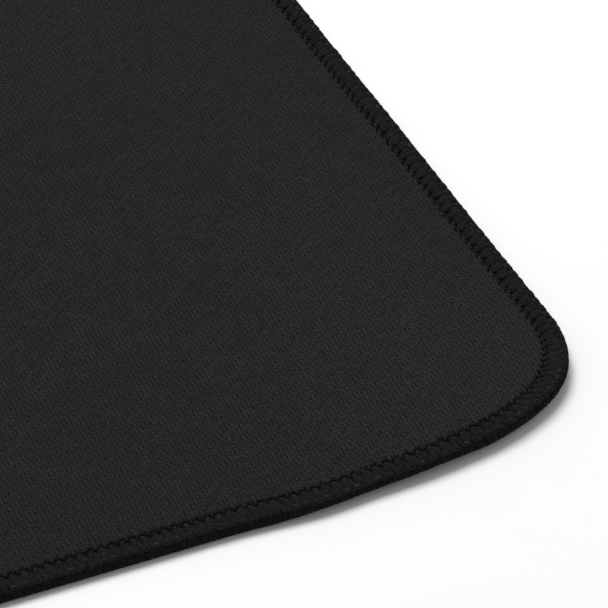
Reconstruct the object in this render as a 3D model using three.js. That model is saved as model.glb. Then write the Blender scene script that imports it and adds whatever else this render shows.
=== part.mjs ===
// Stitched cloth mouse pad: woven cloth bonded to sponge rubber, its cut edge wrapped by a three-thread overlock.
// Millimetres, +Z up. The origin is the middle of the underside and +X runs along the long side.
import * as THREE from 'three';

// Finished outline
const padLength = 260;
const padDepth = 210;
const cornerRadius = 32;

// Layers of the pad, from the table up
const rubberThickness = 2.45;
const filmThickness = 0.1;
const clothThickness = 0.45;

// Overlock stitching round the edge
const stitchPitch = 2.4;
const stitchWidth = 4.7;
const upperThread = 0.4;
const lowerThread = 0.35;
const sideThread = 0.65;
const needleThread = 0.35;
const threadShoulder = 0.9;
const ribDepth = 0.15;
const headRun = 0.6;
const lockDrop = 0.7;
const underRecess = 0.05;

// Clearances and the soft step where the stitches press the layers thin
const wrapEase = 0.3;
const plyEase = 0.05;
const pressRun = 0.9;

// How finely the curves are cut
const cornerSteps = 14;
const stationsPerStitch = 2;
const stitchesPerChord = 2;
const needleDipShare = 0.4;

// Heights: the stitches press the rubber by their own thickness, so they lie flush with the cloth.
const padTop = rubberThickness + filmThickness + clothThickness;
const rimBottom = underRecess + lowerThread;
const rubberPress = rimBottom + upperThread;
const rubberRimTop = rimBottom + rubberThickness - rubberPress;
const filmRimTop = rubberRimTop + filmThickness;
const clothRimTop = filmRimTop + clothThickness;
const lockHeight = padTop - lockDrop;

// Insets from the finished outline
const plyInset = sideThread + wrapEase;
const needleInset = stitchWidth + wrapEase;
const stepInset = needleInset + needleThread + wrapEase;

// The outline is a rectangle of corner centres pushed out by the corner radius. A station is a point on that
// rectangle with the direction in which the edge lies from it, so each inset of the outline shares its stations.
const centreX = padLength / 2 - cornerRadius;
const centreY = padDepth / 2 - cornerRadius;
const needleRadius = cornerRadius - stitchWidth;
const cornerRun = (Math.PI / 2) * needleRadius;
const quarterRun = centreX + centreY + cornerRun;

// A station on one quarter of the edge, from the middle of one side, round the corner, to the middle of the next.
// The distance is measured along the needle line.
function quarterStation(quarter, distance) {
  const start = (quarter * Math.PI) / 2;
  const out = new THREE.Vector2(Math.cos(start), Math.sin(start));
  const along = new THREE.Vector2(-out.y, out.x);
  const reach = quarter % 2 ? centreY : centreX;
  const side = quarter % 2 ? centreX : centreY;
  const before = Math.min(distance, side);
  const turned = THREE.MathUtils.clamp(distance - side, 0, cornerRun);
  const after = Math.max(distance - side - cornerRun, 0);
  const centre = out.clone().multiplyScalar(reach - after).addScaledVector(along, before);
  const angle = start + turned / needleRadius;
  return { centre, angle };
}

function pointAt({ centre, angle }, inset, height) {
  const reach = cornerRadius - inset;
  return new THREE.Vector3(centre.x + reach * Math.cos(angle), centre.y + reach * Math.sin(angle), height);
}

// Stations at the corners only, for the flat layers
function cornerStations() {
  const stations = [];
  for (let quarter = 0; quarter < 4; quarter += 1) {
    const side = quarter % 2 ? centreX : centreY;
    for (let step = 0; step <= cornerSteps; step += 1) {
      stations.push(quarterStation(quarter, side + (cornerRun * step) / cornerSteps));
    }
  }
  return stations;
}

// Stations at every crest and valley of the stitches, a whole number of stitches to each quarter
function stitchStations() {
  const steps = Math.max(1, Math.round(quarterRun / stitchPitch)) * stationsPerStitch;
  const stations = [];
  for (let quarter = 0; quarter < 4; quarter += 1) {
    for (let step = 0; step < steps; step += 1) {
      stations.push(quarterStation(quarter, (quarterRun * step) / steps));
    }
  }
  return stations;
}

const corners = cornerStations();
const stitches = stitchStations();
const chords = stitches.filter((station, index) => index % (stationsPerStitch * stitchesPerChord) === 0);

// A closed loop of points round the pad. The section gives each station's inset and height.
function rail(stations, section) {
  return stations.map((station, index) => pointAt(station, ...section(index)));
}

// Triangles between two loops that may have different counts: each step moves on along the loop that lags.
function zip(lower, upper, faces) {
  let i = 0;
  let j = 0;
  while (i < lower.length || j < upper.length) {
    const lowerIsNext = (i + 1) / lower.length <= (j + 1) / upper.length;
    const a = lower[i % lower.length];
    const b = upper[j % upper.length];
    if (lowerIsNext) {
      i += 1;
      faces.push(a, lower[i % lower.length], b);
    } else {
      j += 1;
      faces.push(a, upper[j % upper.length], b);
    }
  }
}

// A flat end inside a loop, split into triangles, facing up or down
function cap(loop, points, facesUp, faces) {
  const outline = loop.map((index) => new THREE.Vector2(points[index].x, points[index].y));
  for (const [a, b, c] of THREE.ShapeUtils.triangulateShape(outline, [])) {
    const order = facesUp ? [a, b, c] : [a, c, b];
    faces.push(...order.map((corner) => loop[corner]));
  }
}

// A body made of rails listed in order: out along the bottom, up the outside and back in over the top.
// A ring closes from its last rail to its first, and a sheet gets a flat end at each.
function bodyOf(rails, isRing) {
  const points = rails.flat();
  const faces = [];
  let count = 0;
  const loops = rails.map((loop) => {
    const start = count;
    count += loop.length;
    return loop.map((point, index) => start + index);
  });
  loops.slice(1).forEach((loop, index) => zip(loops[index], loop, faces));
  if (isRing) {
    zip(loops.at(-1), loops[0], faces);
  } else {
    cap(loops[0], points, false, faces);
    cap(loops.at(-1), points, true, faces);
  }
  const geometry = new THREE.BufferGeometry().setFromPoints(points);
  geometry.setIndex(faces);
  geometry.computeVertexNormals();
  return geometry;
}

// A layer is flat in the field and steps to another level under the stitches. Each face of the stack above the
// rubber steps down a little further out than the one below it, so the slopes never rub.
function layer(bottom, top) {
  const loop = (inset, height) => rail(corners, () => [inset, height]);
  return bodyOf([
    loop(bottom.step + pressRun, bottom.field),
    loop(bottom.step, bottom.rim),
    loop(plyInset, bottom.rim),
    loop(plyInset, top.rim),
    loop(top.step, top.rim),
    loop(top.step + pressRun, top.field),
  ], false);
}

const stepAt = (face) => stepInset - face * plyEase;

function spongeRubberBase() {
  return layer(
    { step: stepInset, rim: rimBottom, field: 0 },
    { step: stepAt(0), rim: rubberRimTop, field: rubberThickness },
  );
}

function bondingFilm() {
  return layer(
    { step: stepAt(1), rim: rubberRimTop, field: rubberThickness },
    { step: stepAt(2), rim: filmRimTop, field: rubberThickness + filmThickness },
  );
}

function topCloth() {
  return layer(
    { step: stepAt(3), rim: filmRimTop, field: rubberThickness + filmThickness },
    { step: stepAt(4), rim: clothRimTop, field: padTop },
  );
}

// Stitches stand at even stations and the hollows between them at odd ones.
const dipAt = (index) => (index % stationsPerStitch ? ribDepth : 0);

// The upper looper thread crosses the cloth from the needle line and turns down over the edge.
function upperLooperThread() {
  return bodyOf([
    rail(chords, () => [sideThread, lockHeight]),
    rail(stitches, (index) => [dipAt(index), lockHeight]),
    rail(stitches, (index) => [threadShoulder, padTop - dipAt(index)]),
    rail(stitches, (index) => [stitchWidth - headRun, padTop - dipAt(index)]),
    rail(chords, () => [stitchWidth, clothRimTop]),
    rail(chords, () => [sideThread, clothRimTop]),
  ], true);
}

// The lower looper thread crosses the underside, climbs the edge and locks into the upper one.
function lowerLooperThread() {
  return bodyOf([
    rail(chords, () => [stitchWidth, rimBottom]),
    rail(chords, () => [stitchWidth - headRun, underRecess]),
    rail(chords, () => [threadShoulder, underRecess]),
    rail(stitches, (index) => [dipAt(index), underRecess + threadShoulder]),
    rail(stitches, (index) => [dipAt(index), lockHeight]),
    rail(chords, () => [sideThread, lockHeight]),
    rail(chords, () => [sideThread, rimBottom]),
  ], true);
}

// The needle thread runs along the needle line and dips into the cloth at each needle hole.
function needleLineThread() {
  const rise = (index) => needleThread * (index % stationsPerStitch ? needleDipShare : 1);
  return bodyOf([
    rail(chords, () => [needleInset, clothRimTop]),
    rail(stitches, (index) => [needleInset + needleThread / 2, clothRimTop + rise(index)]),
    rail(chords, () => [needleInset + needleThread, clothRimTop]),
  ], true);
}

// Colours and finishes
const finishes = {
  cloth: { color: 0x262729, roughness: 0.85, metalness: 0 },
  film: { color: 0xb9b6ab, roughness: 0.45, metalness: 0 },
  rubber: { color: 0x1d1d1f, roughness: 0.9, metalness: 0 },
  thread: { color: 0x1a1a1c, roughness: 0.6, metalness: 0 },
};

function piece(name, geometry, finish) {
  const mesh = new THREE.Mesh(geometry, new THREE.MeshStandardMaterial(finishes[finish]));
  mesh.name = name;
  return mesh;
}

const mousePad = new THREE.Group();
mousePad.name = 'mouse_pad';
mousePad.add(
  piece('sponge_rubber_base', spongeRubberBase(), 'rubber'),
  piece('bonding_film', bondingFilm(), 'film'),
  piece('top_cloth', topCloth(), 'cloth'),
  piece('lower_looper_thread', lowerLooperThread(), 'thread'),
  piece('upper_looper_thread', upperLooperThread(), 'thread'),
  piece('needle_thread', needleLineThread(), 'thread'),
);

export default mousePad;
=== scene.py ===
# %% [markdown]
# # A cloth mouse pad with a stitched edge
#
# The real pad is a laminate: a sheet of sponge rubber, a film of hot glue and a woven cloth. Its cut edge
# is wrapped by an overlock machine with three threads. This notebook builds those six pieces as surfaces
# worked out with numpy, dresses each with a procedural material, and sets up the floor, the light and the
# camera.
#
# The CAD model is loaded first and stays fixed. Everything here is in metres and in the CAD model's own
# frame: the origin is the middle of the underside, +X runs along the long side and +Z points up out of the
# cloth.

# %% Load the CAD model as the fixed frame
import math

import bpy
import numpy as np
from mathutils import Matrix, Vector


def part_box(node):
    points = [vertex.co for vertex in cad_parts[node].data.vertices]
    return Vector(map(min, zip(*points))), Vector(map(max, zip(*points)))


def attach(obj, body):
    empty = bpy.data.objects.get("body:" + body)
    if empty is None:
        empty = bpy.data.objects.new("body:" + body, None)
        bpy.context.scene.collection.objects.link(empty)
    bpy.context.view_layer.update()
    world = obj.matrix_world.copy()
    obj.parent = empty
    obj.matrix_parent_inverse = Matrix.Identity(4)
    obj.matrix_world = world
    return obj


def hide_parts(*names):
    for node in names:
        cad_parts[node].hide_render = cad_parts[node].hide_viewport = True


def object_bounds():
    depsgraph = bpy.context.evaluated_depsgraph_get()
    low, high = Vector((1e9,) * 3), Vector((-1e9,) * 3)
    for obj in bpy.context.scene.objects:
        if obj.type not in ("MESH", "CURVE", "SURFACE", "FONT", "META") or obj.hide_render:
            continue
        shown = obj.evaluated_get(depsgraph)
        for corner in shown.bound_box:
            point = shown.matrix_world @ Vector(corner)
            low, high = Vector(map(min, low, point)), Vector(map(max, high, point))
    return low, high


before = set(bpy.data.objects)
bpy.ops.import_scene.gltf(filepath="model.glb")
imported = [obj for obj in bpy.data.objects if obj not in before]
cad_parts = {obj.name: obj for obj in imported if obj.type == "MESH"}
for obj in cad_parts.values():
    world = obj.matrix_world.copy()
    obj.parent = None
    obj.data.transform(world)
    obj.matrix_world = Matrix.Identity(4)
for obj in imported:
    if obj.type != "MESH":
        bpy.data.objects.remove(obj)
cad_box = [list(corner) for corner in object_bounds()]
print("CAD pieces:", ", ".join(sorted(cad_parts)))

# %% [markdown]
# ## Sizes
#
# The outline and the thickness come from the CAD model, so they can't drift apart from it. The rest are
# sizes that a maker would set: how far the needle sits from the edge, how long a stitch is, and how thick
# each layer is.

# %% The pad's own sizes
mm = 0.001
pad_length = cad_box[1][0] - cad_box[0][0]
pad_depth = cad_box[1][1] - cad_box[0][1]
pad_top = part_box("top_cloth")[1].z
corner_radius = 32 * mm
cloth_thickness = 0.45 * mm
film_thickness = 0.1 * mm
rim_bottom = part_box("sponge_rubber_base")[0].z + 0.72 * mm
rim_rubber_top = 1.7 * mm
ply_inset = 1.1 * mm
needle_inset = 4.7 * mm
stitches_per_quarter = 89

centre_x = pad_length / 2 - corner_radius
centre_y = pad_depth / 2 - corner_radius
needle_radius = corner_radius - needle_inset
corner_run = math.pi / 2 * needle_radius
quarter_run = centre_x + centre_y + corner_run
stitch_count = 4 * stitches_per_quarter
pitch = quarter_run / stitches_per_quarter
print(f"pad {pad_length / mm:.1f} x {pad_depth / mm:.1f} x {pad_top / mm:.2f} mm, "
      f"{stitch_count} stitches of {pitch / mm:.2f} mm")

# %% [markdown]
# ## The camera
#
# The pad is seen from above its near left, with a long lens from about a metre away, so that only one
# rounded corner is in the frame. The angles are named rather than typed into a matrix: the camera turns
# round the point that it looks at, stands back by its distance, and rolls a little about its own axis.

# %% Place the camera
picture_size = 608
focal_pixels = 5000
sensor_width = 36
look_azimuth, look_elevation, roll = (math.radians(a) for a in (29.36, 40.49, 4.64))
look_at = Vector((85.82 * mm, -45.81 * mm, 0))
stand_back = 1053.3 * mm

forward = Vector((math.sin(look_azimuth) * math.cos(look_elevation),
                  math.cos(look_azimuth) * math.cos(look_elevation), -math.sin(look_elevation)))
level = Vector((math.cos(look_azimuth), -math.sin(look_azimuth), 0))
upward = level.cross(forward)
right = level * math.cos(roll) + upward * math.sin(roll)
over = upward * math.cos(roll) - level * math.sin(roll)

camera_data = bpy.data.cameras.new("camera")
camera_data.sensor_width = sensor_width
camera_data.lens = sensor_width * focal_pixels / picture_size
camera_data.clip_start, camera_data.clip_end = 0.05, 20
camera = bpy.data.objects.new("camera", camera_data)
bpy.context.scene.collection.objects.link(camera)
turn = Matrix((right, over, -forward)).transposed().to_4x4()
camera.matrix_world = Matrix.Translation(look_at - forward * stand_back) @ turn
bpy.context.scene.camera = camera
print(f"lens {camera_data.lens:.0f} mm, camera {camera.location.z:.2f} m above the desk")

# %% [markdown]
# ## Walking round the edge
#
# Every piece follows the same outline, a rectangle with round corners. The outline is best thought of as a
# rectangle of corner centres pushed outwards by a radius. A *run* is the distance walked along the needle
# line, anticlockwise from the middle of the +X side. From a run we get the centre that the edge turns about
# and the direction in which the edge lies, and then any *inset* from the edge is one subtraction. The
# stitches fan out round a corner by themselves, because the outer edge is longer than the needle line.
#
# The machine's feed isn't even, so some stitches are a little longer than others. That is done here, once, by
# shifting the run itself, so that the threads and the cloth they pull on stay together.

# %% From a run and an inset to a point
feed_drift = ((9, 1.0 * mm, 2.3), (15, 0.5 * mm, 0.6))


def fed(run):
    """The run that the pad has really been fed to: run + sum of size * sin(waves * 2 pi run / whole run
    + start). Each sine makes a whole number of waves round the pad, so the last stitch meets the first."""
    turn = 2 * math.pi * run / (4 * quarter_run)
    return run + sum(size * np.sin(waves * turn + start) for waves, size, start in feed_drift)


def edge_station(run):
    """The centre and direction of the edge at a run. In each quarter the centre slides along one side,
    stands still while the direction turns through the corner by run over needle radius, and slides along
    the next side."""
    run = fed(run)
    quarter = np.floor(run / quarter_run)
    within = run - quarter * quarter_run
    odd = quarter % 2 == 1
    side, reach = np.where(odd, centre_x, centre_y), np.where(odd, centre_y, centre_x)
    before = np.minimum(within, side)
    turned = np.clip(within - side, 0, corner_run)
    after = np.maximum(within - side - corner_run, 0)
    start = quarter * math.pi / 2
    out_x, out_y = np.cos(start), np.sin(start)
    left = reach - after
    centre = np.stack([out_x * left - out_y * before, out_y * left + out_x * before], -1)
    return centre, start + turned / needle_radius


def edge_point(run, inset, height):
    """A point inset from the edge: the centre plus (corner radius - inset) in the edge's direction."""
    run, inset, height = np.broadcast_arrays(run, inset, height)
    centre, angle = edge_station(run)
    reach = corner_radius - inset
    x, y = centre[..., 0] + reach * np.cos(angle), centre[..., 1] + reach * np.sin(angle)
    return np.stack([x, y, height], -1)


def fan_out(run, inset):
    """How much longer a stitch is at this inset than on the needle line: 1 on a side, and the ratio of the
    two radii round a corner. It eases from one to the other over two stitches, as thread does."""
    within = run % quarter_run
    side = np.where(np.floor(run / quarter_run) % 2 == 1, centre_x, centre_y)
    ease = 2 * pitch
    entering = np.clip((within - side) / ease + 0.5, 0, 1)
    leaving = np.clip((side + corner_run - within) / ease + 0.5, 0, 1)
    return 1 + entering * leaving * ((corner_radius - inset) / needle_radius - 1)


corners = edge_point(np.array([0, quarter_run]), 0, 0) / mm
print("middles of two sides at", corners.round(1).tolist(), "mm")

# %% [markdown]
# ## How the pad lies
#
# A soft pad is never quite flat. The stitches pull one corner in a little and lift it off the desk by a
# millimetre or two, the near edge bulges out before it, the right side eases outwards, and the field has
# long shallow waves. Beside the corner the stitches also pinch a stretch of the near edge: its underside is
# drawn up and its rim a little inwards. One function moves the points of every piece in the same way, so
# that no layer or thread cuts into another.

# %% Settle the points of any piece
corner_lift, lift_centre, lift_spread = 1.5 * mm, (-12 * mm, 12 * mm), 32 * mm
corner_pull, pull_centre, pull_spread = (0.06 * mm, 3.91 * mm), (-20.22 * mm, 0.14 * mm), 13.08 * mm
edge_bulge, bulge_centre, bulge_spread, bulge_fade = 1.06 * mm, -70.4 * mm, 7.8 * mm, 25 * mm
side_ease, side_ease_start, side_ease_end, side_ease_fade = 0.6 * mm, -10 * mm, 36 * mm, 25 * mm
pinch_rise, pinch_pull, pinch_reach = 0.95 * mm, 0.15 * mm, 3 * mm
pinch_start, pinch_full, pinch_fade, pinch_end = 47 * mm, 62 * mm, 86 * mm, 102 * mm
corner_swell, swell_centre, swell_spread = (0.14 * mm, -0.33 * mm), (-20 * mm, 2.5 * mm), 6.5 * mm
wave_height, wave_length = 0.07 * mm, 54 * mm


def bell(distance, spread):
    """A bell curve: e to the power of minus half the square of distance over spread."""
    return np.exp(-(distance / spread) ** 2 / 2)


def smooth_step(value, low, high):
    """0 below low, 1 above high and 3t^2 - 2t^3 between them."""
    share = np.clip((value - low) / (high - low), 0, 1)
    return share * share * (3 - 2 * share)


def pinch_at(x, y):
    """How strongly the edge is pinched, from 0 to 1. It is 0 but for one stretch of the near side and dies
    away inwards as a bell of the inset, which is the corner radius less the distance from the rectangle of
    corner centres."""
    inset = corner_radius - np.hypot(np.maximum(np.abs(x) - centre_x, 0), np.maximum(np.abs(y) - centre_y, 0))
    along = smooth_step(x, pinch_start, pinch_full) * (1 - smooth_step(x, pinch_fade, pinch_end))
    near_side = smooth_step(-y, centre_y, centre_y + corner_radius / 2)
    return along * near_side * bell(np.maximum(inset, 0), pinch_reach)


def settle(points):
    """Moves points as the soft pad lies: a bell-shaped lift, pull and swell near the corner at +X -Y, a
    bell-shaped bulge of the near edge and a smooth step outwards along the right side, which both fade
    inwards, the pinch, which raises a point the more the lower it is, and two crossing sine waves that grow
    with height above the desk."""
    x, y, z = (points[..., axis] for axis in range(3))
    from_corner = np.stack([x - pad_length / 2, y + pad_depth / 2], -1)
    lift = corner_lift * bell(np.linalg.norm(from_corner - lift_centre, axis=-1), lift_spread)
    pull = bell(np.linalg.norm(from_corner - pull_centre, axis=-1), pull_spread)
    swell = bell(np.linalg.norm(from_corner - swell_centre, axis=-1), swell_spread)
    bulge = bell(from_corner[..., 0] - bulge_centre, bulge_spread)
    bulge = bulge * np.exp(-np.maximum(from_corner[..., 1], 0) / bulge_fade)
    ease = side_ease * (1 - smooth_step(y, side_ease_start, side_ease_end))
    ease = ease * np.exp(np.minimum(from_corner[..., 0], 0) / side_ease_fade)
    pinch = pinch_at(x, y)
    drawn_up = pinch_rise * pinch * np.clip(1 - z / pad_top, 0, 1)
    turns = 2 * math.pi / wave_length
    crossed = np.sin(turns * (x + 0.35 * y)) * np.sin(turns * (0.8 * y - 0.2 * x) + 1)
    wave = wave_height * crossed * z / pad_top
    moved_x = x + corner_pull[0] * pull + corner_swell[0] * swell + ease
    moved_y = y + corner_pull[1] * pull + corner_swell[1] * swell - edge_bulge * bulge + pinch_pull * pinch
    return np.stack([moved_x, moved_y, z + lift + drawn_up + wave], -1)


print("the corner lifts by", round(corner_lift / mm, 1), "mm")

# %% [markdown]
# ## From arrays to a mesh
#
# Two kinds of surface are enough for the whole pad. A *skin* joins closed rings of points, listed from the
# middle of the underside out to the edge and back over the top to the middle. A *strand* carries an ellipse
# along a closed path, which is what a thread is. Both are whole-array work, and both come out closed and
# facing outwards.

# %% Put points, faces and a UV map into an object
def make_piece(name, points, faces, corner_map=None, map_name="Flat"):
    """A mesh object at the origin. The UV map, if there is one, has a value for each corner of each face."""
    mesh = bpy.data.meshes.new(name)
    mesh.from_pydata(points.tolist(), [], faces)
    if corner_map is not None:
        mesh.uv_layers.new(name=map_name).uv.foreach_set("vector", corner_map.astype(np.float32).ravel())
    mesh.shade_smooth()
    mesh.validate()
    made = bpy.data.objects.new(name, mesh)
    bpy.context.scene.collection.objects.link(made)
    return made


def volume_of(points, triangles):
    """The volume inside a closed mesh: a sixth of the sum of the triple products of its triangles' corners.
    It is positive if the faces point outwards."""
    a, b, c = (points[triangles[:, corner]] for corner in range(3))
    return float(np.einsum("ij,ij->", a, np.cross(b, c)) / 6)


# %% A skin: rings joined into a closed surface
def join_rings(outer_start, outer_count, inner_start, inner_count):
    """Triangles between two rings, where one count is a whole multiple of the other. Each step of the coarse
    ring makes a fan to the fine points beside it and one triangle that closes the step."""
    outer_is_fine = outer_count >= inner_count
    fine, coarse = max(outer_count, inner_count), min(outer_count, inner_count)
    share = fine // coarse
    fine_start, coarse_start = (outer_start, inner_start) if outer_is_fine else (inner_start, outer_start)
    step = np.arange(fine)
    hub = coarse_start + step // share
    fans = np.stack([fine_start + step, fine_start + (step + 1) % fine, hub], -1)
    step = np.arange(coarse)
    following = (step + 1) * share % fine
    closing = np.stack([fine_start + following, coarse_start + (step + 1) % coarse, coarse_start + step], -1)
    triangles = np.concatenate([fans, closing])
    return triangles if outer_is_fine else triangles[:, ::-1]


def skin(name, rings):
    """A closed surface over rings. Its UV map holds each point's flat place in metres, before settling."""
    counts = [len(ring) for ring in rings]
    starts = np.concatenate([[0], np.cumsum(counts)])
    flat = np.concatenate([*rings, rings[0].mean(0, keepdims=True), rings[-1].mean(0, keepdims=True)])
    parts = [join_rings(starts[i], counts[i], starts[i + 1], counts[i + 1]) for i in range(len(rings) - 1)]
    for pole, ring, flip in ((starts[-1], 0, True), (starts[-1] + 1, -1, False)):
        around = np.arange(counts[ring])
        first = starts[0] if ring == 0 else starts[-2]
        cap = np.stack([first + around, first + (around + 1) % counts[ring], np.full(counts[ring], pole)], -1)
        parts.append(cap[:, ::-1] if flip else cap)
    triangles = np.concatenate(parts)
    points = settle(flat)
    print(f"{name}: {len(triangles)} triangles, volume {volume_of(points, triangles) * 1e9:.0f} mm3")
    return make_piece(name, points, triangles.tolist(), flat[triangles][..., :2])


# %% A strand: an ellipse carried along a closed path
def strand(name, path, facing, width, thickness, painted_highlight, sides=5):
    """A thread. At each point of the path the ellipse is centre + side * width/2 * cos(t) + up *
    thickness/2 * sin(t), where side is at right angles to the path and to the way the thread faces, and up
    is at right angles to both the path and the side. Its UV map holds the length along the thread in
    centimetres and the share of a turn round it, and an attribute on its points holds the painted
    highlight: how strongly it lightens the thread there."""
    path = settle(path)
    along = np.roll(path, -1, 0) - np.roll(path, 1, 0)
    along /= np.linalg.norm(along, axis=1, keepdims=True)
    side = np.cross(along, facing)
    side /= np.linalg.norm(side, axis=1, keepdims=True)
    up = np.cross(side, along)
    turn = 2 * math.pi * (np.arange(sides) + 0.5) / sides + math.pi / sides * (sides % 2)
    points = (path[:, None] + side[:, None] * (width[:, None] / 2 * np.cos(turn))[..., None]
              + up[:, None] * (thickness[:, None] / 2 * np.sin(turn))[..., None])
    count = len(path)
    ring, corner = np.meshgrid(np.arange(count), np.arange(sides), indexing="ij")
    next_ring, next_corner = (ring + 1) % count, (corner + 1) % sides
    faces = np.stack([ring * sides + corner, ring * sides + next_corner,
                      next_ring * sides + next_corner, next_ring * sides + corner], -1).reshape(-1, 4)
    length = np.concatenate([[0], np.cumsum(np.linalg.norm(np.roll(path, -1, 0) - path, axis=1))]) * 100
    u = np.stack([length[ring], length[ring], length[ring + 1], length[ring + 1]], -1)
    v = np.stack([corner, corner + 1, corner + 1, corner], -1) / sides
    points = points.reshape(-1, 3)
    volume = volume_of(points, np.concatenate([faces[:, :3], faces[:, [0, 2, 3]]]))
    if volume < 0:
        faces, u, v = faces[:, ::-1], u[..., ::-1], v[..., ::-1]
    print(f"{name}: {2 * len(faces)} triangles, {length[-1] / 100:.2f} m of thread, "
          f"volume {abs(volume) * 1e9:.0f} mm3")
    thread_map = np.stack([u.reshape(-1, 4), v.reshape(-1, 4)], -1)
    made = make_piece(name, points, faces.tolist(), thread_map, "Thread")
    highlight_layer = made.data.attributes.new("Painted Highlight", "FLOAT", "POINT")
    highlight_layer.data.foreach_set("value", np.repeat(painted_highlight, sides).astype(np.float32))
    return made


# %% [markdown]
# ## The overlock stitch
#
# The upper looper thread stays on the cloth. It makes one loop for each stitch: in from the edge, round the
# needle thread and out again. The lower looper thread does the same on the underside, but it also climbs
# the edge and laps over it by a millimetre and a half, and there each of its loops locks with the upper
# thread. Both are one wave in two disguises. The wave says how far along its section the thread has gone,
# and a second, faster wave holds the two legs of a loop apart so that they run side by side. Thread is never
# laid down evenly, so each stitch gets its own small errors from a seeded random generator.

# %% The wave that a looper thread follows
upper_phases = (0, 0.09, 0.15, 0.22, 0.3, 0.39)
lower_phases = (0, 0.08, 0.125, 0.155, 0.18, 0.205, 0.235, 0.32)
head_sharpness, tip_sharpness, highlight_sharpness = 6, 14, 150
lean_most, lean_waves, lean_start = 1.5 * mm, 2, 20 * mm
small_error, large_error, dive_error, width_error = 0.1 * mm, 0.12 * mm, 0.05 * mm, 0.08
uneven = np.random.default_rng(7)


def stitch_phase(first_half):
    """The phase of every sample round the pad. Whole numbers are at the lock and the halves are at the
    needle. The samples of half a stitch are given and mirrored, so that they can stand closer together where
    the thread bends."""
    first = np.array(first_half)
    one_stitch = np.concatenate([first, [0.5], 1 - first[:0:-1]])
    return (np.arange(stitch_count)[:, None] + one_stitch).ravel()


def loop_wave(phase):
    """0 at the lock and 1 at the needle: a raised cosine, made blunt at both ends by the smooth step. Blunt
    ends give a loop round shoulders, which close the gap to the next loop."""
    return smooth_step((1 - np.cos(2 * math.pi * phase)) / 2, 0, 1)


def loop_run(phase, squareness, gather):
    """The run of a looper thread: the pitch times the phase, with a double-speed sine that slows it down on
    the legs and a single-speed sine, weighted by the wave squared, that gathers a loop's two legs as they
    near the needle."""
    squared = squareness * np.sin(4 * math.pi * phase) / (4 * math.pi)
    gathered = gather * np.sin(2 * math.pi * phase) * loop_wave(phase) ** 2
    return pitch * (phase + squared + gathered)


def lock_lean(phase):
    """How far the locks are dragged past their heads: a raised cosine of a few slow waves round the pad."""
    slow = 2 * math.pi * lean_waves * (pitch * phase - lean_start) / (4 * quarter_run)
    return lean_most * (1 + np.cos(slow)) / 2


def per_stitch(phase, size, at_needle):
    """Random errors, one for each stitch, that fade out towards the stitch's other end."""
    errors = uneven.normal(0, size, stitch_count)
    weight = loop_wave(phase)
    if at_needle:
        return errors[np.floor(phase).astype(int) % stitch_count] * weight
    return errors[np.rint(phase).astype(int) % stitch_count] * (1 - weight)


# %% The two sections
upper_end_inset, lower_end_inset, head_inset = 0.85 * mm, 1.7 * mm, 4.93 * mm
over_height, lap, under_height = 2.82 * mm, 0.08 * mm, 0.36 * mm
edge_inset, top_bend, bottom_bend = 0.28 * mm, 1.0 * mm, 0.8 * mm
desk_gap = 0.03 * mm


def across_the_cloth(distance):
    """The upper looper's section: level, inwards from its outer end. It gives inset, height and the way up as
    an angle. The two loopers overlap on top of the rim, so that neither's bends leave the cut edge bare."""
    level_part = np.broadcast_to(math.pi / 2, distance.shape)
    return upper_end_inset + distance, np.full(distance.shape, over_height), level_part


def round_the_edge(distance):
    """The lower looper's section from the lock: level outwards, a quarter circle down, straight down the
    wall, a quarter circle under, and level inwards. The way up turns from straight up (90 degrees) to
    straight down."""
    top = over_height + lap
    out_run = lower_end_inset - edge_inset - top_bend
    wall_run = top - top_bend - bottom_bend - under_height
    left = np.maximum(distance - out_run, 0)
    over = np.minimum(left / top_bend, math.pi / 2)
    left = np.maximum(left - top_bend * math.pi / 2, 0)
    down = np.minimum(left, wall_run)
    left = np.maximum(left - wall_run, 0)
    under = np.minimum(left / bottom_bend, math.pi / 2)
    inwards = np.maximum(left - bottom_bend * math.pi / 2, 0)
    inset = lower_end_inset - np.minimum(distance, out_run) - top_bend * np.sin(over)
    inset = inset + bottom_bend * (1 - np.cos(under)) + inwards
    height = top - top_bend * (1 - np.cos(over)) - down - bottom_bend * np.sin(under)
    return inset, height, math.pi / 2 - over - under


def facing_out(run, tilt):
    """The way the thread's flat side faces: outwards at a tilt of 0, up at 90 and down at -90 degrees."""
    _, angle = edge_station(run)
    return np.stack([np.cos(tilt) * np.cos(angle), np.cos(tilt) * np.sin(angle), np.sin(tilt)], -1)


# %% Both looper threads
def looper_thread(name, section, phases, reach, squareness, gather, legs, head, head_dive, tip_width,
                  tip_rise):
    """One looper thread as a strand. Its distance along the section is the loop wave times the section's
    length. Legs and head each give a width and a thickness, the dive sinks the head towards the needle hole,
    and the tip at the lock has its own width and rises over the other thread. No part of it sinks into the
    desk."""
    phase = stitch_phase(phases)
    wave = loop_wave(phase)
    distance = reach * wave + per_stitch(phase, large_error, True) + per_stitch(phase, small_error, False)
    distance = np.maximum(distance, 0)
    run = loop_run(phase, squareness, gather) + lock_lean(phase) * (1 - wave)
    run = run + per_stitch(phase, small_error, True) + per_stitch(phase, large_error, False)
    inset, height, tilt = section(distance)
    near_head, near_lock = wave ** head_sharpness, (1 - wave) ** tip_sharpness
    uneven_width = 1 + per_stitch(phase, width_error, True) + uneven.normal(0, width_error, len(phase))
    spread = fan_out(run, inset) * uneven_width
    width = (legs[0] + (head[0] - legs[0]) * near_head + (tip_width - legs[0]) * near_lock) * spread
    thickness = legs[1] + (head[1] - legs[1]) * near_head
    height = height - np.sin(tilt) * near_head * (head_dive + per_stitch(phase, dive_error, True))
    height = np.maximum(height + tip_rise * near_lock, thickness / 2 + desk_gap)
    run = run % (4 * quarter_run)
    lock = np.rint(phase).astype(int) % stitch_count
    # A painted highlight at each lock, stronger on some stitches than others.
    highlight_spot = (1 - wave) ** highlight_sharpness * uneven.uniform(0.1, 1, stitch_count)[lock]
    return strand(name, edge_point(run, inset, height), facing_out(run, tilt), width, thickness, highlight_spot)


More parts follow.
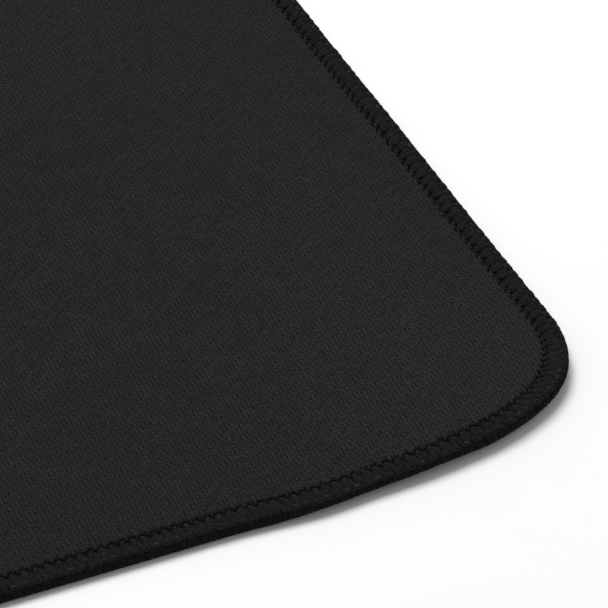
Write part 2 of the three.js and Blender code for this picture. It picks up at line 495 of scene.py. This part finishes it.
both_legs = (1.9 * mm, 0.34 * mm)
upper_looper = looper_thread(
    "upper_looper_strand", across_the_cloth, upper_phases, reach=head_inset - upper_end_inset,
    squareness=1.1, gather=0.18, legs=both_legs, head=(0.95 * mm, 0.6 * mm), head_dive=0.55 * mm,
    tip_width=0.9 * mm, tip_rise=0)
lower_looper = looper_thread(
    "lower_looper_strand", round_the_edge, lower_phases, reach=7.9 * mm, squareness=1.2, gather=0,
    legs=both_legs, head=(0.9 * mm, 0.34 * mm), head_dive=0, tip_width=0.6 * mm, tip_rise=0.12 * mm)

# %% [markdown]
# ## The needle thread
#
# The needle thread runs along the needle line. It lies across the head of every loop and dives through the
# pad between two heads, which is what holds the loops down.

# %% Arch the needle thread from hole to hole
needle_phases = (0, 0.125, 0.25, 0.375)
dive_height, arch_height, arch_power = 1.85 * mm, 2.6 * mm, 1.8
needle_line_inset, needle_sway = head_inset + 0.05 * mm, 0.1 * mm
needle_width, needle_flatness = 0.5 * mm, 0.85


def needle_line(name):
    """A strand whose height rises from the hole to the arch over a head as a power of a raised cosine."""
    phase = stitch_phase(needle_phases)
    over_head = ((1 - np.cos(2 * math.pi * phase)) / 2) ** arch_power
    run = (pitch * phase + per_stitch(phase, small_error, True)) % (4 * quarter_run)
    inset = needle_line_inset + needle_sway * np.sin(2 * math.pi * phase)
    inset = inset + per_stitch(phase, small_error, True)
    height = dive_height + (arch_height - dive_height) * over_head
    facing = np.tile([0.0, 0.0, 1.0], (len(phase), 1))
    width = np.full(len(phase), needle_width)
    # The over-head share also places a painted highlight on the arch over each head.
    return strand(name, edge_point(run, inset, height), facing, width, width * needle_flatness, over_head)


needle_thread = needle_line("needle_strand")

# %% [markdown]
# ## The cloth
#
# The cloth is one thin sheet, flat in the field. At the needle line the heads of the loops pull it down, so
# its border is a row of scallops: the cloth rolls over a small rounded lip and dives under each head, and
# stands up a little between two heads. From there it climbs again to the rim, under the loops. The rings
# near the needle line follow that scalloped line, eight points to a stitch, and the field needs only one
# point to a stitch.

# %% The scalloped lip and its puckers
fine_count = 8 * stitch_count
fine_run = 4 * quarter_run * np.arange(fine_count) / fine_count
coarse_run = 4 * quarter_run * np.arange(stitch_count) / stitch_count
step_out, step_in, step_rings = 5.5 * mm, 6.4 * mm, 5
notch_inset, crown_inset, scallop_power = 4.55 * mm, 5.6 * mm, 0.75
lip_run, lip_bottom = 0.8 * mm, 2.2 * mm
rim_cloth_top, before_lip_inset = 2.4 * mm, 3.8 * mm
pucker_height, pucker_fade = 0.2 * mm, 1.1 * mm
lip_distances = [past * mm for past in (0, 0.02, 0.08, 0.2, 0.38, 0.6, 0.85, 1.15, 1.5, 2.0, 2.6)]
border_end = 8.6 * mm
field_steps = 26


def scallop(run):
    """The inset of the cloth's lip: from the notch between two heads it swells to its crown, a sine arch."""
    arch = np.abs(np.sin(math.pi * run / pitch)) ** scallop_power
    return notch_inset + (crown_inset - notch_inset) * arch


def lip_height(run, past_lip):
    """The height of the cloth at a distance past its lip: a quarter circle that rises steeply and rounds off
    to the field, plus a raised cosine of one wave to the stitch that dies away inwards and stands up between
    two heads."""
    share = np.clip(past_lip / lip_run, 0, 1)
    roll_over = lip_bottom + (pad_top - lip_bottom) * np.sqrt(np.maximum(1 - (1 - share) ** 2, 0))
    pucker = (1 + np.cos(2 * math.pi * run / pitch)) / 2 * share * np.exp(-past_lip / pucker_fade)
    return roll_over + pucker_height * pucker


# %% The rings of the cloth
def field_rings(run, inset, height, steps):
    """Rings that shrink evenly from an inset to the middle of the pad, where the last is a small loop."""
    ring = edge_point(run, inset, height)
    shares = 1 - np.arange(steps) / steps
    return [ring * [share, share, 1] for share in shares]


def lip_ring(past_lip):
    """A ring past the lip. The scallops fade out of it as it nears the end of the border."""
    lip = scallop(fine_run)
    fade = np.clip(past_lip / (border_end - crown_inset), 0, 1)
    inset = (lip + past_lip) * (1 - fade) + (crown_inset + past_lip) * fade
    return edge_point(fine_run, inset, lip_height(fine_run, past_lip))


def cloth_sheet(name):
    """The cloth's underside from the middle outwards, its cut edge, and its top back to the middle."""
    rim_cloth_bottom = rim_rubber_top + film_thickness
    field_bottom = pad_top - cloth_thickness
    below = field_rings(coarse_run, border_end, field_bottom, field_steps)[::-1]
    below += [edge_point(coarse_run, step_in, field_bottom)]
    below += [edge_point(coarse_run, inset, rim_cloth_bottom) for inset in (step_out, ply_inset)]
    rim = [edge_point(coarse_run, ply_inset, rim_cloth_top)]
    rim += [edge_point(fine_run, before_lip_inset, lip_bottom)] + [lip_ring(past) for past in lip_distances]
    return skin(name, below + rim + field_rings(coarse_run, border_end, pad_top, field_steps))


cloth = cloth_sheet("woven_cloth")

# %% [markdown]
# ## The rubber and the glue film
#
# The sponge rubber carries the pad. Under the stitches it is squeezed thin, which is why the stitched edge
# lies hardly higher than the cloth. The glue film fills the gap between rubber and cloth and is never seen,
# but a part that is taken apart has it, so it is here too, as thin as it really is.

# %% Rings for the rubber and the film
def pressed_layer(name, bottom, top, rim_low, rim_high, rim_inset):
    """A layer that is level in the field and steps down over a cosine ease to its squeezed rim."""
    def step(field, rim, inwards):
        shares = np.linspace(0, 1, step_rings)
        shares = shares if inwards else shares[::-1]
        eased = (1 - np.cos(math.pi * shares)) / 2
        return [edge_point(coarse_run, step_out + (step_in - step_out) * share, rim + (field - rim) * ease)
                for share, ease in zip(shares, eased)]

    below = field_rings(coarse_run, border_end, bottom, field_steps)[::-1] + step(bottom, rim_low, False)
    edge = [edge_point(coarse_run, rim_inset, rim_low), edge_point(coarse_run, rim_inset, rim_high)]
    above = step(top, rim_high, True) + field_rings(coarse_run, border_end, top, field_steps)
    return skin(name, below + edge + above)


rubber_top = pad_top - cloth_thickness - film_thickness
film_inset = ply_inset + 0.5 * mm
rubber = pressed_layer("sponge_rubber", 0, rubber_top, rim_bottom, rim_rubber_top, ply_inset)
film = pressed_layer("glue_film", rubber_top, rubber_top + film_thickness, rim_rubber_top,
                     rim_rubber_top + film_thickness, film_inset)

# %% [markdown]
# ## Materials
#
# Everything here is nearly black, so the materials live from small differences: yarn over yarn in the
# cloth, single filaments in the thread, an open grain in the rubber. Effects that more than one material
# uses are node groups, built once. A short helper writes the many arithmetic nodes as one line each.

# %% Helpers for node trees
def connect(tree, value, socket):
    """Links an output to a socket, or sets a plain number or colour on it."""
    if isinstance(value, bpy.types.NodeSocket):
        tree.links.new(value, socket)
    else:
        socket.default_value = value


def maths(tree, operation, *values):
    """One Math node and its output."""
    node = tree.nodes.new("ShaderNodeMath")
    node.operation = operation
    for value, socket in zip(values, node.inputs):
        connect(tree, value, socket)
    return node.outputs[0]


def mix(tree, share, low, high):
    """low + share * (high - low), for numbers."""
    node = tree.nodes.new("ShaderNodeMix")
    connect(tree, share, node.inputs[0])
    connect(tree, low, node.inputs[2])
    connect(tree, high, node.inputs[3])
    return node.outputs[0]


def mix_colour(tree, share, low, high):
    """low + share * (high - low), for colours."""
    node = tree.nodes.new("ShaderNodeMix")
    node.data_type = "RGBA"
    connect(tree, share, node.inputs[0])
    connect(tree, (*low, 1) if isinstance(low, tuple) else low, node.inputs[6])
    connect(tree, (*high, 1) if isinstance(high, tuple) else high, node.inputs[7])
    return node.outputs[2]


def noise(tree, place, scale, detail=2.0):
    """Smooth noise from 0 to 1 with so many lumps to a metre."""
    node = tree.nodes.new("ShaderNodeTexNoise")
    connect(tree, place, node.inputs["Vector"])
    node.inputs["Scale"].default_value = scale
    node.inputs["Detail"].default_value = detail
    return node.outputs["Fac"]


def hashed(tree, x, y):
    """One random number from 0 to 1 for each whole-number cell."""
    cell = tree.nodes.new("ShaderNodeCombineXYZ")
    connect(tree, x, cell.inputs[0])
    connect(tree, y, cell.inputs[1])
    node = tree.nodes.new("ShaderNodeTexWhiteNoise")
    tree.links.new(cell.outputs[0], node.inputs["Vector"])
    return node.outputs["Value"]


def axes_of(tree, place):
    """The x, y and z of a place."""
    node = tree.nodes.new("ShaderNodeSeparateXYZ")
    tree.links.new(place, node.inputs[0])
    return node.outputs


def new_group(name, inputs, outputs):
    """A node group with named sockets, and its input and output nodes."""
    tree = bpy.data.node_groups.new(name, "ShaderNodeTree")
    for label, kind, value in inputs:
        socket = tree.interface.new_socket(label, in_out="INPUT", socket_type=kind)
        if value is not None:
            socket.default_value = value
    for label, kind in outputs:
        tree.interface.new_socket(label, in_out="OUTPUT", socket_type=kind)
    return tree, tree.nodes.new("NodeGroupInput").outputs, tree.nodes.new("NodeGroupOutput").inputs


def use_group(tree, group, **values):
    """Places a group in a material. Keyword names are socket names with underscores for spaces."""
    node = tree.nodes.new("ShaderNodeGroup")
    node.node_tree = group
    for label, value in values.items():
        connect(tree, value, node.inputs[label.replace("_", " ")])
    return node.outputs


# %% [markdown]
# ### The twill weave
#
# The cloth is a two-over, two-under twill. A yarn that runs along Y lies on top of two crossing yarns and
# then dives under two, and its neighbour does the same one yarn later, which draws the diagonal. In
# numbers: the height of a yarn along its length is a cosine with a period of four yarns, its height across
# is a flat-topped round, and whichever yarn is higher is the one we see. The eye doesn't see the yarns so
# much as the slots between two that lie side by side, so the shade is light on every yarn and darkened
# only where the height falls into a slot, which is painted shade. Fibre ends close some of the slots, so a
# noise decides how dark the painted shade of each gets, and a finer noise gives the yarns their grain. The
# yarns along Y get a little painted light: their tone starts higher than that of the crossing ones. The
# sheet was glued on a few degrees askew, so both sets of yarns lean against the pad's sides.

# %% Node group: twill weave
FLOAT, VECTOR = "NodeSocketFloat", "NodeSocketVector"
warp_pitch, weft_pitch = 0.948 * mm, 0.804 * mm
warp_lean, weft_lean = -0.075, 0.026
warp_cover, weft_cover, crimp_share = 0.75, 1.03, 0.45
slot_lumps, slot_gain, slot_start = 700, 2.4, -0.35
grain_lumps, grain_gain, grain_start, grain_share = 1800, 5.6, -2.3, 0.6
warp_least_tone, weft_least_tone, tone_range = 0.168, 0.07, 0.665


def build_twill():
    tree, given, result = new_group(
        "twill_weave",
        [("Place", VECTOR, None), ("Warp Pitch", FLOAT, warp_pitch), ("Weft Pitch", FLOAT, weft_pitch),
         ("Wander", FLOAT, 0.5)],
        [("Height", FLOAT), ("Shade", FLOAT)])
    axes = axes_of(tree, given["Place"])

    def yarn_place(along, pitch_socket, lumps):
        drift = maths(tree, "SUBTRACT", noise(tree, given["Place"], lumps, 2), 0.5)
        return maths(tree, "MULTIPLY_ADD", drift, given["Wander"], maths(tree, "DIVIDE", along, pitch_socket))

    across_warp = maths(tree, "MULTIPLY_ADD", axes[1], warp_lean, axes[0])
    across_weft = maths(tree, "MULTIPLY_ADD", axes[0], weft_lean, axes[1])
    u = yarn_place(across_warp, given["Warp Pitch"], 260)
    v = yarn_place(across_weft, given["Weft Pitch"], 310)
    i, j = maths(tree, "FLOOR", u), maths(tree, "FLOOR", v)

    def crimp(position, centre):
        quarter_turns = maths(tree, "SUBTRACT", position, centre)
        return maths(tree, "COSINE", maths(tree, "MULTIPLY", quarter_turns, math.pi / 2))

    def flat_round(position, cell, cover):
        off_centre = maths(tree, "SUBTRACT", maths(tree, "SUBTRACT", position, cell), 0.5)
        share = maths(tree, "ABSOLUTE", maths(tree, "MULTIPLY", off_centre, 2 / cover))
        return maths(tree, "SUBTRACT", 1.0, maths(tree, "POWER", share, 3.0))

    warp_crimp, weft_crimp = crimp(v, maths(tree, "ADD", i, 1.0)), crimp(u, maths(tree, "ADD", j, 2.0))
    warp = maths(tree, "MULTIPLY_ADD", warp_crimp, crimp_share, flat_round(u, i, warp_cover))
    weft = maths(tree, "MULTIPLY_ADD", weft_crimp, crimp_share, flat_round(v, j, weft_cover))
    height = maths(tree, "DIVIDE", maths(tree, "MAXIMUM", warp, weft), 1 + crimp_share)
    is_weft = maths(tree, "GREATER_THAN", weft, warp)
    yarn_tone = mix(tree, is_weft, hashed(tree, i, maths(tree, "FLOOR", maths(tree, "MULTIPLY", v, 0.3))),
                    hashed(tree, maths(tree, "FLOOR", maths(tree, "MULTIPLY", u, 0.3)), j))
    open_slot = tree.nodes.new("ShaderNodeMapRange")
    open_slot.interpolation_type = "SMOOTHSTEP"
    connect(tree, height, open_slot.inputs["Value"])
    open_slot.inputs["From Min"].default_value = 0.3
    open_slot.inputs["From Max"].default_value = 0.8
    slot_noise = noise(tree, given["Place"], slot_lumps, 1)
    slot_depth = maths(tree, "MULTIPLY_ADD", slot_noise, slot_gain, slot_start)
    # Painted shade: the tone is darkened where the height falls into a slot between two yarns.
    painted_slot_shade = mix(tree, slot_depth, 1.0, open_slot.outputs[0])
    grain = maths(tree, "MULTIPLY_ADD", noise(tree, given["Place"], grain_lumps, 3), grain_gain, grain_start)
    # Painted light: the yarns along Y start from a higher tone than the crossing ones.
    least_tone = mix(tree, is_weft, warp_least_tone, weft_least_tone)
    tone = maths(tree, "MULTIPLY_ADD", mix(tree, grain_share, yarn_tone, grain), tone_range, least_tone)
    connect(tree, height, result["Height"])
    connect(tree, maths(tree, "MULTIPLY", tone, painted_slot_shade), result["Shade"])
    return tree


twill_weave = build_twill()
print("node groups:", [group.name for group in bpy.data.node_groups])

# %% [markdown]
# ### Filaments, slow tone and lint
#
# A looper thread is a loose bundle of crimped filaments with hardly any twist, so it shows fine streaks
# along its length. Slow tone is the cloudy difference in colour that any dyed cloth or rubber has. Lint is
# the sprinkle of pale fibre ends that black fabric always picks up.

# %% Node groups: filaments, slow tone, lint
def build_filaments():
    tree, given, result = new_group(
        "thread_filaments",
        [("Thread Map", VECTOR, None), ("Count", FLOAT, 7.0), ("Twist", FLOAT, 2.0)],
        [("Height", FLOAT), ("Shade", FLOAT)])
    axes = axes_of(tree, given["Thread Map"])
    stretch = tree.nodes.new("ShaderNodeVectorMath")
    stretch.operation = "MULTIPLY"
    tree.links.new(given["Thread Map"], stretch.inputs[0])
    stretch.inputs[1].default_value = (4, 6, 1)
    wander = noise(tree, stretch.outputs[0], 1.0, 3)
    turns = maths(tree, "ADD", maths(tree, "MULTIPLY", axes[1], given["Count"]),
                  maths(tree, "MULTIPLY", axes[0], given["Twist"]))
    turns = maths(tree, "MULTIPLY_ADD", wander, 2.5, turns)
    stripe = maths(tree, "COSINE", maths(tree, "MULTIPLY", turns, 2 * math.pi))
    stripe = maths(tree, "MULTIPLY_ADD", stripe, 0.5, 0.5)
    fine = noise(tree, stretch.outputs[0], 5.0, 2)
    height = mix(tree, 0.35, stripe, fine)
    connect(tree, height, result["Height"])
    connect(tree, mix(tree, 0.2, height, fine), result["Shade"])
    return tree


def build_slow_tone():
    tree, given, result = new_group(
        "slow_tone", [("Place", VECTOR, None), ("Amount", FLOAT, 0.1)], [("Factor", FLOAT)])
    broad = mix(tree, 0.4, noise(tree, given["Place"], 14, 2), noise(tree, given["Place"], 60, 2))
    clouds = mix(tree, 0.5, broad, noise(tree, given["Place"], 170, 2))
    connect(tree, maths(tree, "MULTIPLY_ADD", maths(tree, "SUBTRACT", clouds, 0.5),
                        maths(tree, "MULTIPLY", given["Amount"], 4.0), 1.0), result["Factor"])
    return tree


def build_lint():
    tree, given, result = new_group(
        "lint", [("Place", VECTOR, None), ("Amount", FLOAT, 0.5)], [("Mask", FLOAT)])
    cells = tree.nodes.new("ShaderNodeTexVoronoi")
    cells.inputs["Scale"].default_value = 420
    cells.inputs["Randomness"].default_value = 1
    tree.links.new(given["Place"], cells.inputs["Vector"])
    near = maths(tree, "LESS_THAN", cells.outputs["Distance"], 0.055)
    chosen = tree.nodes.new("ShaderNodeSeparateColor")
    tree.links.new(cells.outputs["Color"], chosen.inputs[0])
    rare = maths(tree, "LESS_THAN", chosen.outputs[0], maths(tree, "MULTIPLY", given["Amount"], 0.1))
    connect(tree, maths(tree, "MULTIPLY", near, rare), result["Mask"])
    return tree


thread_filaments, slow_tone, lint = build_filaments(), build_slow_tone(), build_lint()


# %% A new material and its Principled shader
def new_material(name):
    """A material with its node tree, its shader and the object's coordinates."""
    material = bpy.data.materials.new(name)
    material.use_nodes = True
    tree = material.node_tree
    shader = next(node for node in tree.nodes if node.type == "BSDF_PRINCIPLED")
    place = tree.nodes.new("ShaderNodeTexCoord").outputs["Object"]
    return material, tree, shader, place


def own_map(tree, name):
    """The piece's own UV map."""
    node = tree.nodes.new("ShaderNodeUVMap")
    node.uv_map = name
    return node.outputs[0]


def bump(tree, shader, height, depth):
    """Turns a height from 0 to 1 into the shader's normal. The depth is in metres."""
    node = tree.nodes.new("ShaderNodeBump")
    node.inputs["Strength"].default_value = 1.0
    node.inputs["Distance"].default_value = depth
    connect(tree, height, node.inputs["Height"])
    tree.links.new(node.outputs["Normal"], shader.inputs["Normal"])


# %% [markdown]
# ### Painted light and shade on the cloth
#
# The cloth's colour carries painted light and painted shade. Round the corner at +X -Y it is painted a
# little paler, which is painted light, and along the stitches, where the cloth rolls down, a little darker,
# which is painted shade. Both are worked out from the flat place in the cloth, so they stay on the cloth
# however it lies.

# %% Painted light and shade on the cloth
# Painted light: a paler patch near the corner at +X -Y. Painted shade: a darker band along the lip.
painted_light_share, painted_light_spread, painted_light_inset = 0.42, 42 * mm, 12 * mm
painted_rim_shade, rim_fade = 0.1, 9 * mm


def painted_light_and_shade(tree, flat):
    """1 in the field, plus painted light: a share times a bell curve of the distance from the corner at +X
    -Y,
    less painted shade: a share times e to the power of minus the distance from the lip over its fade. The
    distance from the lip follows the round corners."""
    axes = axes_of(tree, flat)

    def beyond(axis, centre):
        return maths(tree, "MAXIMUM", maths(tree, "SUBTRACT", maths(tree, "ABSOLUTE", axis), centre), 0)

    beyond_x, beyond_y = beyond(axes[0], centre_x), beyond(axes[1], centre_y)
    squares = maths(tree, "MULTIPLY_ADD", beyond_x, beyond_x, maths(tree, "POWER", beyond_y, 2))
    to_lip = maths(tree, "SUBTRACT", maths(tree, "SQRT", squares), corner_radius - crown_inset)
    fading = maths(tree, "EXPONENT", maths(tree, "DIVIDE", to_lip, rim_fade))
    painted_shade = maths(tree, "MULTIPLY", fading, painted_rim_shade)
    to_corner = tree.nodes.new("ShaderNodeVectorMath")
    to_corner.operation = "DISTANCE"
    tree.links.new(flat, to_corner.inputs[0])
    to_corner.inputs[1].default_value = (pad_length / 2 - painted_light_inset, painted_light_inset - pad_depth / 2, 0)
    turns = maths(tree, "POWER", maths(tree, "DIVIDE", to_corner.outputs["Value"], painted_light_spread), 2)
    painted_light = maths(tree, "MULTIPLY", maths(tree, "EXPONENT", maths(tree, "MULTIPLY", turns, -0.5)), painted_light_share)
    return maths(tree, "SUBTRACT", maths(tree, "ADD", painted_light, 1.0), painted_shade)


# %% Material: woven cloth
def woven_cloth():
    material, tree, shader, _ = new_material("woven_cloth")
    flat = own_map(tree, "Flat")
    weave = use_group(tree, twill_weave, Place=flat, Wander=0.8)
    slow = use_group(tree, slow_tone, Place=flat, Amount=0.32)
    specks = use_group(tree, lint, Place=flat, Amount=0.5)
    shade = maths(tree, "MULTIPLY", weave["Shade"], slow["Factor"])
    # Painted light at the corner and painted shade along the stitches scale the weave's shade.
    shade = maths(tree, "MULTIPLY", shade, painted_light_and_shade(tree, flat))
    colour = mix_colour(tree, shade, (0.0027, 0.0027, 0.0024), (0.0193, 0.0193, 0.0175))
    colour = mix_colour(tree, maths(tree, "MULTIPLY", specks["Mask"], 0.35), colour, (0.12, 0.12, 0.11))
    connect(tree, colour, shader.inputs["Base Color"])
    connect(tree, mix(tree, weave["Height"], 0.95, 0.75), shader.inputs["Roughness"])
    shader.inputs["Specular IOR Level"].default_value = 0.1
    bump(tree, shader, weave["Height"], 0.11 * mm)
    return material


# %% Material: overlock thread
def overlock_thread(name, dark, light, highlight_colour, count, twist, depth):
    material, tree, shader, place = new_material(name)
    streaks = use_group(tree, thread_filaments, Thread_Map=own_map(tree, "Thread"), Count=count, Twist=twist)
    slow = use_group(tree, slow_tone, Place=place, Amount=0.08)
    specks = use_group(tree, lint, Place=place, Amount=0.6)
    fuzz = maths(tree, "MULTIPLY_ADD", noise(tree, place, 1500, 4), 2.6, -0.8)
    shade = maths(tree, "MULTIPLY", mix(tree, 0.5, streaks["Shade"], fuzz), slow["Factor"])
    colour = mix_colour(tree, shade, dark, light)
    # Painted highlight: where the points' attribute says so, the colour turns towards the highlight colour,
    # in patches by the fuzz.
    painted_highlight = tree.nodes.new("ShaderNodeAttribute")
    painted_highlight.attribute_name = "Painted Highlight"
    colour = mix_colour(tree, maths(tree, "MULTIPLY", painted_highlight.outputs["Fac"], fuzz), colour, highlight_colour)
    colour = mix_colour(tree, maths(tree, "MULTIPLY", specks["Mask"], 0.3), colour, (0.1, 0.1, 0.095))
    connect(tree, colour, shader.inputs["Base Color"])
    connect(tree, mix(tree, streaks["Height"], 0.9, 0.7), shader.inputs["Roughness"])
    shader.inputs["Specular IOR Level"].default_value = 0.04
    bump(tree, shader, mix(tree, 0.5, streaks["Height"], fuzz), depth)
    return material


# %% Material: open-skin sponge rubber
def grip_rubber():
    material, tree, shader, place = new_material("grip_rubber")
    axes, grip_pitch = axes_of(tree, place), 1.6 * mm

    def ridge(x_part, y_part):
        turns = maths(tree, "ADD", maths(tree, "MULTIPLY", axes[0], x_part / grip_pitch),
                      maths(tree, "MULTIPLY", axes[1], y_part / grip_pitch))
        return maths(tree, "COSINE", maths(tree, "MULTIPLY", turns, 2 * math.pi))

    waffle = maths(tree, "MULTIPLY_ADD", maths(tree, "ADD", ridge(0.5, 0.866), ridge(0.5, -0.866)), 0.25, 0.5)
    pores = noise(tree, place, 5200, 2)
    slow = use_group(tree, slow_tone, Place=place, Amount=0.12)
    specks = use_group(tree, lint, Place=place, Amount=1.0)
    shade = maths(tree, "MULTIPLY", mix(tree, 0.5, waffle, pores), slow["Factor"])
    colour = mix_colour(tree, shade, (0.009, 0.009, 0.0095), (0.02, 0.02, 0.021))
    colour = mix_colour(tree, maths(tree, "MULTIPLY", specks["Mask"], 0.5), colour, (0.16, 0.16, 0.15))
    connect(tree, colour, shader.inputs["Base Color"])
    connect(tree, mix(tree, pores, 0.95, 0.7), shader.inputs["Roughness"])
    shader.inputs["Specular IOR Level"].default_value = 0.25
    bump(tree, shader, mix(tree, 0.3, waffle, pores), 0.25 * mm)
    return material


# %% Material: glue film
def milky_glue():
    material, tree, shader, place = new_material("milky_glue")
    slow = use_group(tree, slow_tone, Place=place, Amount=0.15)
    share = maths(tree, "SUBTRACT", slow["Factor"], 0.5)
    colour = mix_colour(tree, share, (0.42, 0.4, 0.35), (0.55, 0.53, 0.47))
    connect(tree, colour, shader.inputs["Base Color"])
    connect(tree, mix(tree, noise(tree, place, 900, 2), 0.35, 0.6), shader.inputs["Roughness"])
    bump(tree, shader, noise(tree, place, 700, 3), 0.03 * mm)
    return material


# %% Dress the pieces and tie them to the frame
# Each thread's highlight colour is a painted highlight: on the upper looper it is just its own lightest
# colour, on the lower looper a much paler one at each lock, and on the needle thread a paler one over each
# head.
upper_finish = overlock_thread(
    "upper_looper_finish", dark=(0.0014, 0.0014, 0.0012), light=(0.0155, 0.0155, 0.0136),
    highlight_colour=(0.0155, 0.0155, 0.0136), count=7, twist=1.5, depth=0.1 * mm)
# The lower looper's own colours are a little darker than the upper's: painted shade on the pad's wall, which
# the lower looper covers.
lower_finish = overlock_thread(
    "lower_looper_finish", dark=(0.001, 0.001, 0.0009), light=(0.0145, 0.0145, 0.0132),
    highlight_colour=(0.058, 0.058, 0.054), count=6, twist=1.5, depth=0.1 * mm)
needle_finish = overlock_thread(
    "needle_thread_finish", dark=(0.003, 0.003, 0.0027), light=(0.013, 0.013, 0.0118),
    highlight_colour=(0.045, 0.045, 0.041), count=3, twist=9, depth=0.07 * mm)
dress = [
    (cloth, woven_cloth(), "woven_polyester", "top_cloth"),
    (film, milky_glue(), "hot_melt_film", "bonding_film"),
    (rubber, grip_rubber(), "sponge_rubber", "sponge_rubber_base"),
    (upper_looper, upper_finish, "polyester_thread", "upper_looper_thread"),
    (lower_looper, lower_finish, "polyester_thread", "lower_looper_thread"),
    (needle_thread, needle_finish, "polyester_thread", "needle_thread"),
]
for made, material, slot, node in dress:
    made.data.materials.append(material)
    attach(made, "root")
    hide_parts(node)

# %% [markdown]
# ## The floor and the light
#
# The pad lies on a plain white floor under a large soft lamp, high up behind and to the left, in an evenly
# lit room. The room's light keeps the near wall of the pad dark but readable, and the lamp draws a small
# highlight on each head of the stitching, with a painted highlight on the needle thread over each head.

# %% Floor
floor_size = 6.0
floor_drop = 0.1 * mm


def seen_ray(tree):
    """1 for a ray that brings a picture, straight to the camera or by way of a mirror or a glass, and 0
    for a ray that only carries light from one surface to the next."""
    rays = tree.nodes.new("ShaderNodeLightPath").outputs
    return maths(tree, "MAXIMUM", rays["Is Camera Ray"],
                 maths(tree, "MAXIMUM", rays["Is Glossy Ray"], rays["Is Transmission Ray"]))


def floor_material():
    material, tree, shader, place = new_material("white_floor")
    fleck = noise(tree, place, 40, 2)
    paper = mix_colour(tree, fleck, (0.94, 0.94, 0.94), (0.96, 0.96, 0.96))
    connect(tree, mix_colour(tree, seen_ray(tree), (0.5, 0.5, 0.5), paper), shader.inputs["Base Color"])
    shader.inputs["Roughness"].default_value = 0.9
    shader.inputs["Specular IOR Level"].default_value = 0.1
    return material


half = floor_size / 2
floor_corners = [[-half, -half], [half, -half], [half, half], [-half, half]]
floor = make_piece("floor", np.array([[*corner, -floor_drop] for corner in floor_corners]), [[0, 1, 2, 3]])
floor.data.materials.append(floor_material())

# %% Lamp and room
lamp_azimuth, lamp_elevation = math.radians(110), math.radians(68)
lamp_distance, lamp_size, lamp_power = 1.5, 0.8, 17.5
lamp_data = bpy.data.lights.new("soft_lamp", "AREA")
lamp_data.size = lamp_size
lamp_data.energy = lamp_power
lamp = bpy.data.objects.new("soft_lamp", lamp_data)
bpy.context.scene.collection.objects.link(lamp)
away = Vector((math.cos(lamp_azimuth) * math.cos(lamp_elevation),
               math.sin(lamp_azimuth) * math.cos(lamp_elevation), math.sin(lamp_elevation)))
lamp.location = look_at + away * lamp_distance
lamp.rotation_euler = away.to_track_quat("Z", "Y").to_euler()

room_light = 0.4
world = bpy.data.worlds.new("room")
bpy.context.scene.world = world
world.use_nodes = True
room = world.node_tree
background = next(node for node in room.nodes if node.type == "BACKGROUND")
background.inputs["Color"].default_value = (1, 1, 1, 1)
connect(room, mix(room, seen_ray(room), room_light, 1.0), background.inputs["Strength"])

bpy.context.scene.view_settings.view_transform = "Standard"

# %% Print the CAD model's box and finish
print("CAD box", cad_box)
